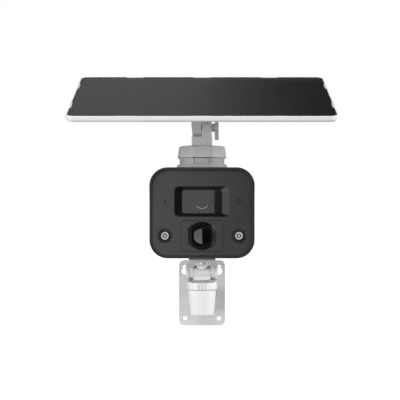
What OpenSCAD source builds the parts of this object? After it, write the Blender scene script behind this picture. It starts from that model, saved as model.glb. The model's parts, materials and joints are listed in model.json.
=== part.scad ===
// Solar-powered security camera on a wall bracket.
// Millimetres, +Z up. The wall is the plane Y = 0 and the camera looks along -Y.
// The origin is the centre of the wall plate's back face.

/* [Wall bracket] */
// Width of the wall plate
plate_w = 54; // [50:1:64]
// Height of the wall plate
plate_h = 76; // [72:1:90]
// Distance from the wall to the pan axis
arm_reach = 72; // [68:1:84]
// Radius of the arm's cup
cup_r = 16; // [15:0.5:16.5]
// Height of the fork's tilt axis above the origin
pivot_z = 27.3; // [27:0.1:28]

/* [Camera body] */
// Width of the camera body
body_w = 112; // [108:1:120]
// Height of the camera body
body_h = 97; // [94:1:104]
// Depth of the body in front of the pan axis
body_front = 48; // [46:1:54]
// Depth of the body behind the pan axis
body_back = 40; // [38:1:44]
// Radius of the body's corners
body_r = 19.5; // [17:0.5:21]
// Wall thickness of the housing
wall = 2.5; // [2:0.1:3]

/* [Panel mount] */
// Radius of the mount ring
ring_r = 24.8; // [24:0.1:26]
// Radius of the swivel cap
cap_r = 27; // [26.4:0.1:28]
// Height of the panel's tilt axis above the origin
tilt_z = 187.6; // [187:0.1:192]

/* [Solar panel] */
// Width of the panel
panel_w = 281.5; // [240:0.5:320]
// Depth of the panel
panel_d = 172; // [150:2:200]
// Tilt of the panel from level, front edge down
panel_tilt = 20.3; // [10:0.1:30]
// Distance from the tilt axis to the panel's top face
panel_rise = 37; // [36:0.5:42]

/* [Hidden] */
$fn = 64;
eps = 0.01;

// Fits
run = 0.06;     // radial clearance of a running fit
gap = 0.3;      // gap between bodies that move apart

// Levels and places worked out from the driving sizes
pan_y = -arm_reach;
plate_t = 4.5;
plate_hole_r = 2.45;
plate_hole_dx = 39.5;
plate_hole_dz = 60;
keyhole_big_r = 3.9;
keyhole_drop = 5;

cup_top = 8.2;
cup_bottom = -19.6;
cup_neck_r = 12.9;
cup_neck_top = 14.2;
shaft_r = 8;
pocket_r = 10.6;
pocket_top = -10.2;

collar_r = 16.8;
collar_low = cup_top + gap;
collar_front = 16.6;
collar_high = 18;

barrel_r = 7.7;
barrel_half = 9.2;
bolt_r = 3;
ear_in = 9.5;
ear_out = 14.9;
ear_r = 7.2;
fork_low = 39.2;
fork_top = 42.5;
screw_y = pan_y - 12;
screw_r = 3.175;
ring_z = 38.2;

body_low = 44.8;
body_top = body_low + body_h;
body_mid = body_low + body_h / 2;
front_y = pan_y - body_front;
back_y = pan_y + body_back;
seam_y = pan_y - 33;
fascia_y = front_y + 1;
fascia_t = 3;
lens_z = body_mid + 12.1;
lamp_z = body_mid - 24.5;
lamp_x = 39.6;

lens_open_w = 59.8;
lens_open_h = 32.8;
window_w = 43;
window_h = 25;
pir_w = 44.5;
pir_h = 33.5;
pir_r = 15.3;

post_x = 42;
post_z = 36;

flap_z = 55;
flap_y = back_y - 1.5;
flap_w = 32;
flap_h = 15;
button_x = 32;
button_z = 62;

board_y = pan_y - 19;
cell_y = pan_y + 14;
cell_r = 9.1;
speaker_y = pan_y + 16;

flange_top = body_top + 4.7;
ring_top = flange_top + 7.1;
cap_low = ring_top + gap;
cap_top = 166.8;
block_top = 177.2;
ear_x0 = 0.1;
ear_x1 = 10.4;
lug_x1 = -1;
knuckle_r = 10;
lug_r = 10.9;
wing_bolt_r = 2.5;

frame_t = 6.8;
frame_r = 9;
border = 1.2;
skirt = 3;
base_plate_top = panel_rise - frame_t - 0.5;

// ---------- shared shapes ----------

// Flat outline with round corners
module rounded_rect(w, h, r) {
    square([w - 2 * r, h], center = true);
    square([w, h - 2 * r], center = true);
    for (sx = [-1, 1], sy = [-1, 1])
        translate([sx * (w / 2 - r), sy * (h / 2 - r)]) circle(r);
}

// Extrudes an outline drawn in X and Z from y0 to y1
module along_y(y0, y1) {
    translate([0, y1, 0]) rotate([90, 0, 0]) linear_extrude(y1 - y0) children();
}

// Extrudes an outline drawn in Y and Z from x0 to x1
module along_x(x0, x1) {
    translate([x0, 0, 0]) rotate([90, 0, 90]) linear_extrude(x1 - x0) children();
}

// Upright plate with round corners, centred on x = 0
module face_slab(w, h, r, y0, y1, z = 0) {
    translate([0, 0, z]) along_y(y0, y1) rounded_rect(w, h, r);
}

// Round rod along Y, and round rod along X
module rod_y(r, y0, y1) {
    translate([0, y1, 0]) rotate([90, 0, 0]) cylinder(r = r, h = y1 - y0);
}
module rod_x(r, x0, x1) {
    translate([x0, 0, 0]) rotate([0, 90, 0]) cylinder(r = r, h = x1 - x0);
}

// Tube along Z
module tube(r_out, r_in, z0, z1) {
    translate([0, 0, z0]) difference() {
        cylinder(r = r_out, h = z1 - z0);
        translate([0, 0, -1]) cylinder(r = r_in, h = z1 - z0 + 2);
    }
}

// Points of an arc, for outlines that are turned or extruded
function arc(cx, cy, r, a0, a1, n = 6) =
    [for (i = [0:n]) [cx + r * cos(a0 + (a1 - a0) * i / n), cy + r * sin(a0 + (a1 - a0) * i / n)]];

// Places children at the four combinations of x and z
module four(x, z) {
    for (sx = [-1, 1], sz = [-1, 1]) translate([sx * x, 0, sz * z]) children();
}

// Frame of the panel: z is the panel's normal and the tilt axis is x
module panel_space() {
    translate([0, pan_y, tilt_z]) rotate([panel_tilt, 0, 0]) children();
}

// Flat slab in the panel's frame
module panel_slab(w, d, r, z0, z1) {
    translate([0, 0, z0]) linear_extrude(z1 - z0) rounded_rect(w, d, r);
}

// ---------- wall bracket ----------

module keyhole(x) {
    translate([x, 0, plate_hole_dz / 2]) {
        rod_y(plate_hole_r, -plate_t - 1, 1);
        translate([0, 0, -keyhole_drop]) rod_y(keyhole_big_r, -plate_t - 1, 1);
        translate([-plate_hole_r, -plate_t - 1, -keyhole_drop])
            cube([2 * plate_hole_r, plate_t + 2, keyhole_drop]);
    }
}

module wall_plate() {
    color("#e9eaec") difference() {
        face_slab(plate_w, plate_h, 6, -plate_t, 0);
        for (sx = [-1, 1]) {
            translate([sx * plate_hole_dx / 2, 0, -plate_hole_dz / 2]) rod_y(plate_hole_r, -plate_t - 1, 1);
            keyhole(sx * plate_hole_dx / 2);
            translate([sx * 8, 0, -6]) rod_y(1.55, -plate_t - 1, 1);
            translate([sx * 8, 0, -6]) rod_y(3.1, -2.2, 1);
        }
    }
}

module arm_screws() {
    color("#b8babd") for (sx = [-1, 1]) translate([sx * 8, 0, -6]) difference() {
        union() {
            rod_y(3, -2.1, -0.2);
            rod_y(1.5, -16, -2);
        }
        translate([-2.2, -1.2, -0.4]) cube([4.4, 1.2, 0.8]);
        translate([-0.4, -1.2, -2.2]) cube([0.8, 1.2, 4.4]);
    }
}

module cup_profile() {
    polygon(concat(
        [[0, cup_bottom]],
        arc(cup_r - 3.4, cup_bottom + 1.2, 1.2, -90, -8),
        [[cup_r - 1.1, -5]],
        arc(cup_r - 1, cup_top - 1, 1, 0, 90, 4),
        [[cup_neck_r, cup_top], [cup_neck_r, cup_neck_top], [0, cup_neck_top]]
    ));
}

module arm() {
    color("#f2f3f4") difference() {
        union() {
            translate([0, pan_y, 0]) rotate_extrude() cup_profile();
            hull() {
                face_slab(20, 19, 7, pan_y + 3, pan_y + 4, -6);
                face_slab(20, 19, 7, -24, -23, -6);
                face_slab(27, 30, 9, -plate_t - 1, -plate_t, -6);
            }
        }
        translate([0, pan_y, pocket_top - 1]) cylinder(r = shaft_r + run, h = 40);
        translate([0, pan_y, cup_bottom - 1]) cylinder(r = pocket_r, h = pocket_top - cup_bottom + 1);
        for (sx = [-1, 1]) translate([sx * 8, 0, -6]) rod_y(1.55, -17, 0);
    }
}

module cup_plug() {
    color("#e6e7e9") translate([0, pan_y, cup_bottom + 0.3]) difference() {
        cylinder(r = pocket_r - 0.05, h = 1.8);
        // Coin slot
        translate([-6, -0.8, -0.2]) cube([12, 1.6, 1]);
    }
}

module lock_collar() {
    color("#eff0f1") translate([0, pan_y, 0]) difference() {
        rotate_extrude() polygon(concat(
            [[cup_neck_r + gap, collar_low]],
            [[collar_r - 0.8, collar_low], [collar_r, collar_low + 0.8]],
            arc(collar_r - 1, collar_high - 1, 1, 0, 90, 4),
            [[13.9, collar_high], [13.9, cup_neck_top + gap], [cup_neck_r + gap, cup_neck_top + gap]]
        ));
        // Low front and back edges with sloping ends
        along_y(-30, 30) polygon([[-15, collar_high + eps], [-10.5, collar_front], [10.5, collar_front],
            [15, collar_high + eps]]);
        // Three grip grooves at the front and three at the back
        for (sy = [-1, 1], x = [-3.7, 0, 3.7])
            translate([x - 0.7, sy * (collar_r + 1) - 3, collar_low - 1]) cube([1.4, 6, 12]);
    }
}

// ---------- stem ----------

module stem() {
    color("#cfd1d3") translate([0, pan_y, 0]) difference() {
        union() {
            translate([0, 0, -10.5]) cylinder(r = shaft_r, h = 26);
            translate([0, 0, 14.6]) cylinder(r1 = 10.4, r2 = 13.2, h = 4.8);
            translate([0, 0, collar_high + gap]) cylinder(r = 14.3, h = 1.4);
            translate([-barrel_half, -6.6, 19]) cube([2 * barrel_half, 13.2, pivot_z - 19]);
            translate([0, 0, pivot_z]) rod_x(barrel_r, -barrel_half, barrel_half);
        }
        translate([0, 0, pivot_z]) rod_x(bolt_r + run, -20, 20);
        translate([0, 0, -11]) cylinder(r = 1.6, h = 14);
    }
}

module stem_washer() {
    color("#a9abae") translate([0, pan_y, 0]) tube(pocket_r - 0.4, 1.7, -12, -10.6);
}

module stem_screw() {
    color("#b8babd") translate([0, pan_y, 0]) difference() {
        union() {
            translate([0, 0, -15]) cylinder(r1 = 2.6, r2 = 3.2, h = 2.9);
            translate([0, 0, -12.2]) cylinder(r = 1.5, h = 13);
        }
        translate([0, 0, -15.1]) cylinder(r = 1.4, h = 1.8, $fn = 6);
    }
}

// ---------- fork ----------

module fork() {
    color("#c3c5c7") translate([0, pan_y, 0]) difference() {
        union() {
            // Top plate, which reaches forward over the camera screw
            translate([0, -8.3, fork_low]) linear_extrude(fork_top - fork_low)
                rounded_rect(2 * ear_out - 0.4, 36.6, 3);
            for (sx = [-1, 1]) {
                x0 = sx > 0 ? ear_in : -ear_out;
                translate([0, 0, pivot_z]) rod_x(ear_r, x0, x0 + ear_out - ear_in);
                along_x(x0, x0 + ear_out - ear_in) polygon([
                    [-ear_r, pivot_z], [ear_r, pivot_z], [ear_r, fork_top - 1],
                    [-18, fork_top - 1], [-18, fork_low - 1.2], [-ear_r, fork_low - 7]]);
            }
        }
        translate([0, 0, pivot_z]) rod_x(bolt_r + 0.05, -20, 20);
        translate([0, screw_y - pan_y, fork_low - 1]) cylinder(r = screw_r + run, h = 6);
        translate([0, screw_y - pan_y, fork_low - 1]) cylinder(r = 7.4, h = 2.3);
    }
}

module pivot_bolt() {
    color("#b8babd") translate([0, pan_y, pivot_z]) difference() {
        union() {
            rod_x(bolt_r, -ear_out - 0.1, ear_out + 2.1);
            rod_x(5, -ear_out - 2.1, -ear_out - 0.05);
        }
        rod_x(1.7, -ear_out - 3, -ear_out - 1.1, $fn = 6);
    }
}

module pivot_nut() {
    color("#a9abae") translate([0, pan_y, pivot_z]) difference() {
        translate([ear_out + 0.05, 0, 0]) rotate([0, 90, 0]) cylinder(r = 5.4, h = 2, $fn = 6);
        rod_x(bolt_r + 0.03, ear_out - 1, ear_out + 4);
    }
}

module side_caps() {
    color("#dfe1e2") for (sx = [-1, 1]) translate([sx * (ear_out + 0.02), pan_y, pivot_z])
        rotate([0, sx * 90, 0]) rotate_extrude() polygon(concat(
            [[6.1, 0], [8.7, 0]],
            arc(5.9, 0.5, 2.8, 0, 90),
            [[0, 3.3], [0, 2.3], [6.1, 2.3]]
        ));
}

// ---------- camera screw ----------

module camera_screw() {
    head_low = 36.5;
    color("#eceded") translate([0, screw_y, 0]) difference() {
        union() {
            translate([0, 0, head_low]) cylinder(r1 = 3.4, r2 = 4.2, h = 0.8);
            translate([0, 0, head_low + 0.8]) cylinder(r = 4.2, h = 3);
            translate([0, 0, head_low + 3.7]) cylinder(r = screw_r, h = 11);
        }
        translate([-0.7, -5, head_low - 0.1]) cube([1.4, 10, 1.2]);
        translate([0, 0, ring_z]) {
            rod_x(0.8, 2.6, 5);
            rod_x(0.8, -5, -2.6);
        }
    }
}

module d_ring() {
    color("#c9cbcd") translate([0, screw_y, 0]) {
        along_y(-0.8, 0.8) difference() {
            intersection() {
                translate([0, ring_z - 0.4]) circle(6.4);
                translate([-8, ring_z - 8]) square([16, 8.8]);
            }
            translate([-4.55, ring_z - 2.9]) square([9.1, 8]);
        }
        translate([0, 0, ring_z]) {
            rod_x(0.74, 2.8, 5);
            rod_x(0.74, -5, -2.8);
        }
    }
}

// ---------- camera body: shells ----------

module body_outline(inset) {
    rounded_rect(body_w - 2 * inset, body_h - 2 * inset, body_r - inset);
}

module body_slab(inset, y0, y1) {
    translate([0, 0, body_mid]) along_y(y0, y1) body_outline(inset);
}

module front_hood() {
    rim = 2.8;
    color("#2b2c2e") {
        difference() {
            union() {
                body_slab(0, front_y, seam_y - 0.6);
                // Rain visor: the rim stands forward round the upper half
                intersection() {
                    body_slab(0, front_y - 4, front_y + eps);
                    along_x(-body_w, body_w) polygon([[front_y, lens_z], [front_y - 4, lens_z + 17],
                        [front_y - 4, body_top + 1], [front_y + 1, body_top + 1], [front_y + 1, lens_z]]);
                }
            }
            body_slab(rim, front_y - 5, fascia_y + fascia_t + 0.1);
            body_slab(5, front_y, seam_y);
            body_slab(2.6, fascia_y + fascia_t + 2.2, seam_y);
        }
    }
}

module front_panel() {
    color("#3a3b3d") difference() {
        union() {
            body_slab(3, fascia_y, fascia_y + fascia_t);
            translate([0, 0, body_mid]) four(post_x, post_z)
                rod_y(3.5, fascia_y + fascia_t - eps, seam_y - 0.8);
            // Stand-offs for the infrared carrier board
            translate([0, 0, lens_z]) four(33, 12.5) rod_y(1.8, fascia_y + fascia_t - eps, fascia_y + 9);
        }
        translate([0, 0, body_mid]) four(post_x, post_z) rod_y(1.55, seam_y - 9, seam_y);
        face_slab(lens_open_w, lens_open_h, 5.5, front_y, seam_y, lens_z);
        translate([0, 0, lamp_z]) along_y(front_y, seam_y) rounded_rect(pir_w, pir_h, 4);
        for (sx = [-1, 1]) translate([sx * lamp_x, 0, lamp_z]) rod_y(7.8, front_y, seam_y);
        translate([-lamp_x, 0, lens_z]) rod_y(1, front_y, seam_y);
        translate([lamp_x, 0, lens_z]) rod_y(2.5, front_y, seam_y);
        translate([-2.4, front_y, body_low]) cube([4.8, 10, 3.4]);
    }
}

module front_seal() {
    color("#1c1c1d") difference() {
        body_slab(0.7, seam_y - 0.55, seam_y - 0.05);
        body_slab(3.6, seam_y - 1, seam_y + 1);
    }
}

// Outer form of the rear housing, and of its cavity when it is inset
module rear_form(inset, y0) {
    hull() {
        body_slab(inset, y0, pan_y + 30 - inset / 2);
        body_slab(inset + 1.6, pan_y + 35 - inset, pan_y + 36.5 - inset);
        body_slab(inset + 5, back_y - 0.2 - inset, back_y - inset);
    }
}

module rear_housing() {
    color("#313234") difference() {
        union() {
            difference() {
                rear_form(0, seam_y);
                rear_form(wall, seam_y - 1);
            }
            // Wells for the long screws
            translate([0, 0, body_mid]) four(post_x, post_z) rod_y(4.6, seam_y + 0.5, back_y - 1.5);
            // Boss for the thread insert
            translate([0, screw_y, body_low + 1]) cylinder(r = 8, h = 9);
            // Thick wall behind the service flap and the power button
            translate([-19, back_y - 7, flap_z - 5]) cube([38, 6, 22]);
            // Ribs that carry the battery cells
            for (sx = [-1, 1]) translate([sx * 22 - 1, cell_y, 63]) cube([2, back_y - 2 - cell_y, 45]);
            // Rests for the main board's corners
            for (sx = [-1, 1], sz = [-1, 1])
                translate([sx * 37.5 - 4.5, board_y + 1.65, body_mid + sz * 33.5 - 3.5]) cube([9, 2.4, 7]);
        }
        translate([0, 0, body_mid]) four(post_x, post_z) {
            rod_y(1.7, seam_y - 1, back_y + 1);
            rod_y(3.3, seam_y + 8, back_y + 1);
        }
        translate([0, screw_y, body_low - 1]) cylinder(r = 4.85, h = 9.4);
        // Flap pocket, its hinge holes and the openings behind it
        translate([-flap_w / 2 - 0.4, back_y - 3.1, flap_z - 2.2]) cube([flap_w + 0.8, 4, flap_h + 3.6]);
        translate([0, flap_y, flap_z]) rod_x(0.76, -flap_w / 2 - 2, flap_w / 2 + 2);
        face_slab(9.4, 3.6, 1.7, back_y - 8, back_y, 63);
        translate([-13.2, 0, 0]) face_slab(1.6, 9, 0.7, back_y - 8, back_y, 63);
        translate([11, 0, 63]) rod_y(1.46, back_y - 8, back_y);
        translate([button_x, 0, button_z]) rod_y(4.08, back_y - 8, back_y + 1);
        // Speaker grille in the floor
        translate([0, speaker_y, body_low - 1]) {
            cylinder(r = 1.2, h = 5, $fn = 24);
            for (a = [0:60:300]) rotate([0, 0, a]) translate([7, 0, 0]) cylinder(r = 1.2, h = 5, $fn = 24);
        }
        // The battery cells lie in the ribs
        cells() rod_x(cell_r + 0.1, -30, 30);
    }
}

module housing_screws() {
    color("#8d8f92") translate([0, 0, body_mid]) four(post_x, post_z) difference() {
        union() {
            rod_y(3, seam_y + 8.1, seam_y + 10.6);
            rod_y(1.5, seam_y - 8, seam_y + 8.2);
        }
        rod_y(1.3, seam_y + 9.2, seam_y + 11, $fn = 6);
    }
}

// ---------- camera body: lens ----------

module lens_bezel() {
    color("#37383a") difference() {
        face_slab(lens_open_w - 0.2, lens_open_h - 0.2, 5.4, fascia_y, fascia_y + 5.5, lens_z);
        hull() {
            face_slab(lens_open_w - 0.7, lens_open_h - 0.7, 5, fascia_y - 0.2, fascia_y - 0.1, lens_z);
            face_slab(window_w, window_h, 3, fascia_y + 4.8, fascia_y + 4.9, lens_z);
        }
        face_slab(window_w, window_h, 3, fascia_y, fascia_y + 7, lens_z);
    }
}

module lens_window() {
    color("#1a1b1d", 0.6)
        face_slab(window_w + 6, window_h + 5, 3.5, fascia_y + 5.55, fascia_y + 6.75, lens_z);
}

module lens_barrel() {
    y0 = fascia_y + 7.4;
    color("#141415") translate([0, 0, lens_z]) difference() {
        union() {
            rod_y(8.2, y0, y0 + 1.6);
            rod_y(7.4, y0 + 1.5, y0 + 5.8);
        }
        translate([0, y0 + 2.6, 0]) rotate([90, 0, 0]) cylinder(r1 = 5.4, r2 = 7.2, h = 2.7);
        rod_y(5.4, y0 + 1, y0 + 10);
    }
}

module front_lens() {
    y0 = fascia_y + 7.9;
    color("#20242c", 0.5) translate([0, 0, lens_z]) intersection() {
        rod_y(5.35, y0, y0 + 4);
        translate([0, y0 + 9, 0]) sphere(9);
    }
}

module sensor_board() {
    y0 = fascia_y + 16.5;
    color("#1f4a2c") face_slab(32, 26, 1.5, y0, y0 + 1.4, lens_z);
    color("#2a2a2c") difference() {
        face_slab(17, 17, 1, y0 - 3.2, y0 - eps, lens_z);
        face_slab(9, 7, 0.5, y0 - 4, y0 - 1, lens_z);
    }
}

module infrared_emitters() {
    // Two emitters on a carrier board, with the lens barrel through its middle
    color("#2b2629") translate([0, 0, lens_z]) {
        for (sx = [-1, 1]) translate([sx * 16, 0, 0]) {
            face_slab(5, 5, 0.6, fascia_y + 7.6, fascia_y + 9.1);
            rod_y(1.9, fascia_y + 7.1, fascia_y + 7.7);
        }
        difference() {
            face_slab(70, 32, 2, fascia_y + 9.05, fascia_y + 10.25);
            rod_y(7.5, fascia_y + 8, fascia_y + 12);
        }
        // Pillars that carry the sensor board
        four(13.5, 10.8) rod_y(1.2, fascia_y + 10.2, fascia_y + 16.48);
    }
}

// ---------- camera body: spotlights ----------

module lamps() {
    for (sx = [-1, 1]) translate([sx * lamp_x, fascia_y, lamp_z]) rotate([-90, 0, 0]) children();
}

module spotlight_cups() {
    color("#4a4b4d") lamps() rotate_extrude() polygon([[7.7, 0], [7.7, 3.1], [8, 3.1], [8, 6.4], [1.6, 6.4],
        [1.6, 5], [4.7, 5], [4.7, 3.8], [7.3, 0.1], [7.5, 0]]);
}

module spotlight_lenses() {
    color("#e8eaee", 0.7) lamps() rotate_extrude() polygon(concat(
        [[0, 2.9]],
        arc(3.3, 3.9, 1.2, -90, 0),
        [[4.5, 4.9], [2.4, 4.9], [2.4, 4.3], [0, 4.3]]
    ));
}

module light_chips() {
    color("#f4e8a8") lamps() {
        translate([-1.4, -1.4, 4.5]) cube([2.8, 2.8, 0.45]);
        translate([0, 0, 4.9]) cylinder(r = 1.5, h = 1.4);
    }
}

// ---------- camera body: motion sensor ----------

// Oblong outline with cut corners
module motion_outline(w, h, cut = 3.5) {
    polygon([[-w / 2 + cut, -h / 2], [w / 2 - cut, -h / 2], [w / 2, -h / 2 + cut], [w / 2, h / 2 - cut],
        [w / 2 - cut, h / 2], [-w / 2 + cut, h / 2], [-w / 2, h / 2 - cut], [-w / 2, -h / 2 + cut]]);
}

module motion_frame() {
    color("#38393b") translate([0, 0, lamp_z]) difference() {
        along_y(fascia_y + 0.1, fascia_y + 4.6) rounded_rect(pir_w - 0.7, pir_h - 0.7, 3.65);
        translate([0, fascia_y + 4.4, 0]) rotate([90, 0, 0]) cylinder(r1 = 12, r2 = 15.4, h = 4.4);
        rod_y(11.7, fascia_y + 2, fascia_y + 6);
        // The side wings of the recess slope in towards the dome
        hull() {
            along_y(fascia_y, fascia_y + 0.1) motion_outline(2 * pir_r - 0.4, 24, 4);
            along_y(fascia_y + 3.8, fascia_y + 3.9) motion_outline(24.6, 17, 4);
        }
    }
}

module motion_dome() {
    dome_r = 14;
    base_r = 11.5;
    y0 = fascia_y + 4.7;
    rise = dome_r - sqrt(dome_r * dome_r - base_r * base_r);
    color("#0d0d0e") translate([0, 0, lamp_z]) {
        difference() {
            intersection() {
                translate([0, y0 - rise + dome_r, 0]) sphere(dome_r);
                rod_y(base_r, y0 - rise - 1, y0);
            }
            translate([0, y0 - rise + dome_r, 0]) sphere(dome_r - 1);
        }
        translate([0, y0, 0]) rotate([-90, 0, 0]) tube(15, 10.2, 0, 1.2);
    }
}

module motion_sensor() {
    color("#a9abae") translate([0, 0, lamp_z]) {
        rod_y(4.6, fascia_y + 9, fascia_y + 13);
        rod_y(5.2, fascia_y + 12.4, fascia_y + 13.2);
        // Stalk on the main board
        rod_y(3, fascia_y + 13, board_y - 0.05);
    }
}

module microphone() {
    color("#18181a") translate([-lamp_x, 0, lens_z]) difference() {
        rod_y(3.2, fascia_y + fascia_t + 0.05, fascia_y + 8);
        rod_y(0.9, fascia_y + fascia_t - 1, fascia_y + 5);
    }
}

module light_sensor_window() {
    color("#56585b") translate([lamp_x, 0, lens_z]) {
        rod_y(1.95, fascia_y + 0.1, fascia_y + fascia_t + 0.2);
        rod_y(4, fascia_y + fascia_t + 0.1, fascia_y + 4.4);
    }
}

// ---------- camera body: inside ----------

module main_board() {
    y0 = board_y;
    color("#1f4a2c") face_slab(74, 68, 2, y0, y0 + 1.6, 92);
    color("#a9abae") face_slab(34, 28, 1, y0 + 1.55, y0 + 4.2, 100);
    color("#232325") translate([-24, 0, 0]) face_slab(14, 12, 0.5, y0 + 1.55, y0 + 3, 72);
}

module cells() {
    for (z = [75.5, 95.5]) translate([0, cell_y, z]) children();
}

module battery_cells() {
    color("#4a78a8") cells() {
        rod_x(cell_r, -32.5, 32.5);
        rod_x(2.6, 32.4, 34);
    }
}

module speaker() {
    color("#202022") translate([0, speaker_y, 0]) {
        tube(13, 10.4, body_low + wall + 0.1, body_low + wall + 2.4);
        translate([0, 0, body_low + wall + 2.3]) cylinder(r = 12, h = 2.4);
        translate([0, 0, body_low + wall + 4.6]) cylinder(r = 7, h = 2.6);
    }
}

module antenna() {
    color("#c8a24a") translate([-30, pan_y + 16, body_top - wall - 0.85]) cube([60, 9, 0.8]);
}

module charge_socket() {
    color("#b9bbbe") difference() {
        face_slab(9.2, 3.4, 1.6, back_y - 15, back_y - 3.4, 63);
        face_slab(8.4, 2.6, 1.2, back_y - 14, back_y - 3, 63);
    }
}

module card_socket() {
    color("#b9bbbe") translate([-13.2, 0, 0]) difference() {
        face_slab(3, 13, 0.4, back_y - 14, back_y - 7.3, 63);
        face_slab(1.2, 11.2, 0.3, back_y - 13, back_y - 7, 63);
    }
}

module service_flap() {
    color("#232425") difference() {
        union() {
            translate([0, 0, flap_z + 1 + flap_h / 2 - 0.5])
                along_y(back_y - 2.4, back_y - 0.2) rounded_rect(flap_w, flap_h, 1.5);
            translate([0, flap_y, flap_z]) rod_x(1.1, -flap_w / 2 + 0.1, flap_w / 2 - 0.1);
            translate([-flap_w / 2 + 3, flap_y - 0.7, flap_z]) cube([flap_w - 6, 1.4, 3]);
            translate([0, flap_y, flap_z]) rod_x(0.7, -flap_w / 2 - 1.6, flap_w / 2 + 1.6);
        }
        // Finger nick at the top edge
        translate([-5, back_y - 0.9, flap_z + flap_h - 1.2]) cube([10, 2, 3]);
    }
}

module power_button() {
    color("#4a4b4d") translate([button_x, 0, button_z]) {
        rod_y(4, back_y - 3.4, back_y + 0.7);
        rod_y(5.2, back_y - 3.5, back_y - wall - 0.05);
    }
}

module reset_button() {
    color("#d8d9da") translate([11, 0, 63]) {
        rod_y(1.4, back_y - 7.6, back_y - 2.9);
        rod_y(2.2, back_y - 7.8, back_y - 7.05);
    }
}

module foot_pad() {
    low = fork_top + gap;
    color("#5b5d60") translate([0, screw_y, low]) linear_extrude(body_low - 0.02 - low) difference() {
        rounded_rect(29, 29, 2.5);
        circle(4);
    }
}

module thread_insert() {
    color("#b58f45") translate([0, screw_y, 0]) tube(4.8, screw_r + run, body_low + 0.1, body_low + 8.2);
}

// ---------- panel mount on the camera ----------

module mount_flange() {
    color("#85878a") translate([0, pan_y, 0]) {
        rotate_extrude() polygon([[0, body_top + 0.02], [28.4, body_top + 0.02], [28.4, body_top + 1],
            [27.2, flange_top], [0, flange_top]]);
        for (sx = [-1, 1]) translate([sx * 17.7, 0, flange_top - eps]) cylinder(r = 1.8, h = 1.2);
    }
}

module mount_ring() {
    color("#94969a") translate([0, pan_y, 0]) difference() {
        union() {
            tube(ring_r, 21.4, flange_top + 0.02, ring_top);
            tube(14, 12, flange_top + 0.02, ring_top);
            for (a = [45, 135, 225, 315])
                rotate([0, 0, a]) translate([13, -1, flange_top + 0.02]) cube([9.5, 2, 4]);
        }
        // Window for the release button
        translate([-8.75, -ring_r - 1, flange_top - 1]) cube([17.5, 8, 9]);
        // Index notches on the right side
        for (z = [flange_top + 2.2, flange_top + 5])
            translate([ring_r - 0.7, -3, z]) cube([2, 6, 0.8]);
    }
}

module release_button() {
    color("#97999d") translate([0, pan_y, flange_top + gap]) {
        intersection() {
            tube(ring_r - 0.05, 12, 0, 6.5);
            translate([-8.2, -30, -1]) cube([16.4, 10.8, 10]);
        }
        // Guide post inside the spring
        translate([0, 0, 3.5]) rod_y(1.5, -19.3, -17.2);
    }
}

// Points of a coil of wire, one ring of eight for each step along the turn
function coil_ring(t, coil_r, wire_r, rise) = [for (k = [0:7])
    let (r = coil_r + wire_r * cos(45 * k)) [r * cos(t), r * sin(t), rise * t / 360 + wire_r * sin(45 * k)]];

module coil(coil_r, wire_r, turns, length) {
    steps = turns * 16;
    rings = [for (i = [0:steps]) each coil_ring(i * 22.5, coil_r, wire_r, (length - 2 * wire_r) / turns)];
    sides = [for (i = [0:steps - 1], k = [0:7])
        [8 * i + k, 8 * i + (k + 1) % 8, 8 * (i + 1) + (k + 1) % 8, 8 * (i + 1) + k]];
    polyhedron(rings, concat([[7, 6, 5, 4, 3, 2, 1, 0]], sides, [[for (k = [0:7]) 8 * steps + k]]));
}

module button_spring() {
    // Wire coil between the button and the ring's inner tube
    color("#d0d2d4") translate([0, pan_y - 14.45, flange_top + 3.8]) rotate([90, 0, 0]) coil(2, 0.3, 4, 4.7);
}

// ---------- swivel cap and knuckle ----------

module swivel_cap() {
    color("#a8aaad") translate([0, pan_y, 0]) difference() {
        union() {
            rotate_extrude() polygon(concat(
                [[0, cap_top - 3.2], [22.6, cap_top - 3.2], [23.6, cap_low], [cap_r, cap_low]],
                [[cap_r - 0.5, cap_low + 2.6]],
                arc(cap_r - 4, cap_top - 2.6, 2.6, 0, 90),
                [[0, cap_top]]
            ));
            translate([0, 0, flange_top + 1.2]) cylinder(r = 12 - run, h = cap_top - flange_top - 3);
        }
        // Six flats that lean in, none on the left and right
        for (a = [0, 45, 135, 180, 225, 315]) rotate([0, 0, a])
            translate([0, -25.5, cap_low]) rotate([-4.5, 0, 0]) translate([-30, -20, -2]) cube([60, 20, 20]);
        translate([0, 0, flange_top]) cylinder(r = 9.5, h = cap_top - flange_top - 3.2);
        translate([0, 0, cap_top - 5]) cylinder(r = 6.05, h = 6);
    }
}

module tilt_ear() {
    color("#a4a6a9") translate([0, pan_y, 0]) difference() {
        union() {
            translate([0, 0, cap_top + 0.02]) linear_extrude(block_top - cap_top)
                rounded_rect(22.7, 20, 1.2);
            along_y(-knuckle_r, knuckle_r) polygon([[ear_x0, block_top - 1], [ear_x1 + 0.8, block_top - 1],
                [ear_x1, tilt_z - 6.5], [ear_x1, tilt_z], [ear_x0, tilt_z]]);
            translate([0, 0, tilt_z]) rod_x(knuckle_r, ear_x0, ear_x1);
            translate([0, 0, cap_top - 6]) cylinder(r = 6, h = 8);
        }
        translate([0, 0, tilt_z]) rod_x(wing_bolt_r + run, -20, 20);
        // Saddle under the lug's round end
        translate([0, 0, tilt_z]) rod_x(lug_r + gap, -20, ear_x0);
    }
}

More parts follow.
